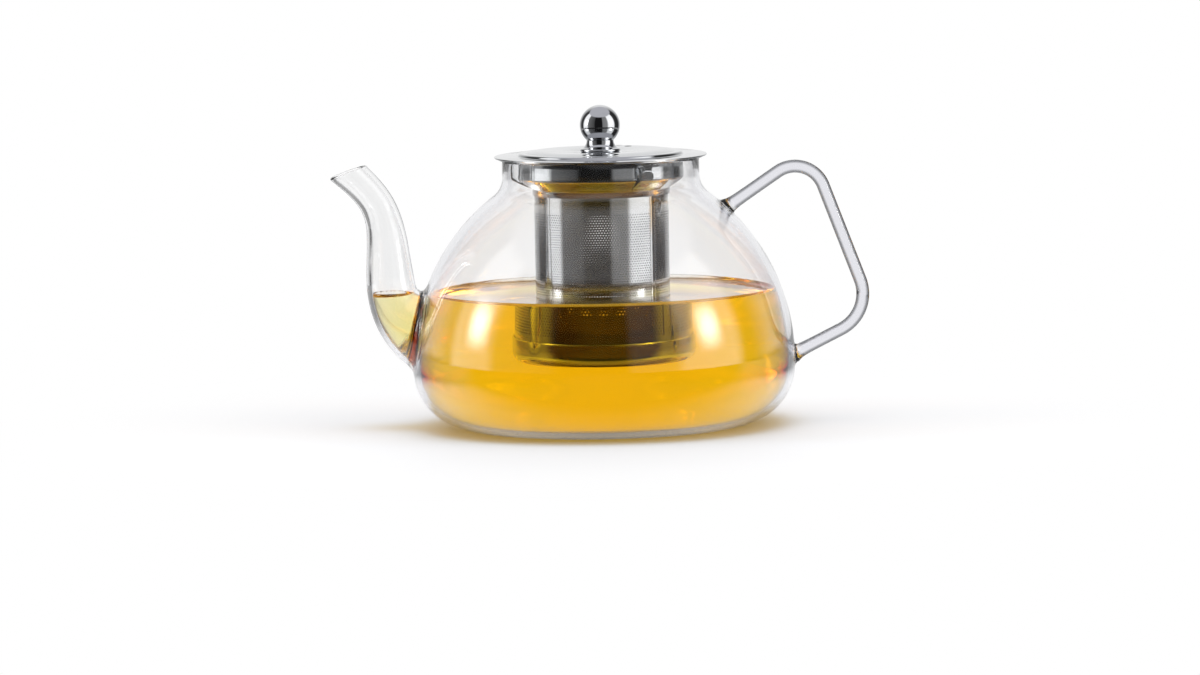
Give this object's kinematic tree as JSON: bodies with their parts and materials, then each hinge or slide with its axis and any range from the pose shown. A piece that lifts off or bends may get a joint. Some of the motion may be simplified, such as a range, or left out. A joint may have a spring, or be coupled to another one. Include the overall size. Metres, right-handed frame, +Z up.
{
  "type": "glass teapot",
  "caption": "Wide-bellied clear glass teapot with a curved spout, a bent glass rod handle, a lift-out perforated steel infuser and a lift-off steel lid with a ball knob.",
  "frame": {"origin": "centre of the flat base, on the surface that the pot stands on", "axes": "+Z up along the pot's axis, +X towards the handle, -X towards the spout"},
  "size_m": [0.2076, 0.1474, 0.1237],
  "materials": {
    "clear_glass": "clear, fire-polished",
    "drawn_steel": "bright drawn",
    "sieve_steel": "fine perforated, satin",
    "polished_steel": "mirror polished"
  },
  "bodies": {
    "pot": {"glass_body": "clear_glass", "glass_spout": "clear_glass", "glass_handle": "clear_glass"},
    "infuser": {"infuser_collar": "drawn_steel", "infuser_sieve": "sieve_steel", "infuser_base": "drawn_steel"},
    "lid": {"lid_cover": "drawn_steel", "lid_skirt": "drawn_steel", "knob_foot": "polished_steel", "knob_ball": "polished_steel", "knob_washer": "drawn_steel", "knob_screw": "drawn_steel"}
  },
  "joints": [
    {"name": "infuser_lift", "type": "slide", "parent": "pot", "child": "infuser", "axis": [0, 0, 1], "range_m": [0, 0.1]},
    {"name": "lid_lift", "type": "slide", "parent": "infuser", "child": "lid", "axis": [0, 0, 1], "range_m": [0, 0.05]}
  ]
}
